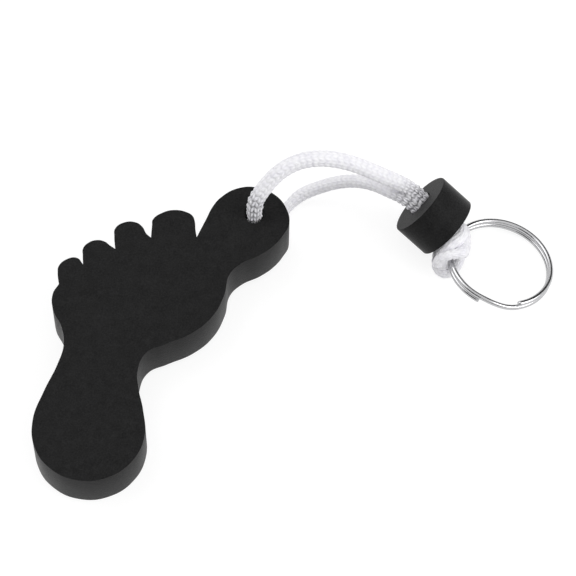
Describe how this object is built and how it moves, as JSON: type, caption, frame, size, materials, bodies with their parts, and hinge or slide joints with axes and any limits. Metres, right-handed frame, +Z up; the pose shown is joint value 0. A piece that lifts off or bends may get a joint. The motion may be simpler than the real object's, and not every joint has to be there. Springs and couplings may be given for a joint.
{
  "type": "floating keychain",
  "caption": "Foot-shaped foam float with a doubled knitted cord through one toe, a short foam bead on the cord and a split key ring knotted to its end.",
  "frame": {"origin": "under the middle of the foot, bead and ring together, on the surface that the keychain lies on", "axes": "+X from the foot to the ring, +Y away from the viewer towards the toes, +Z up"},
  "size_m": [0.132, 0.0904, 0.0309],
  "materials": {
    "black_foam": "matt closed-cell foam with a fine grain",
    "white_cord": "soft knitted cord",
    "bright_steel": "bright nickel-plated wire"
  },
  "bodies": {
    "float_and_cord": {"foam_float": "black_foam", "cord": "white_cord"},
    "bead": {"float_bead": "black_foam"},
    "ring": {"split_ring": "bright_steel"}
  },
  "joints": [
    {"name": "ring_turn", "type": "hinge", "parent": "float_and_cord", "child": "ring", "pos_m": [0.0521, 0.0229, 0.00447], "axis": [0.2001, 0.11, 0.9736], "continuous": true},
    {"name": "bead_slide", "type": "slide", "parent": "float_and_cord", "child": "bead", "axis": [-0.7294, 0.4177, 0.5417], "range_m": [0, 0.0025]}
  ]
}
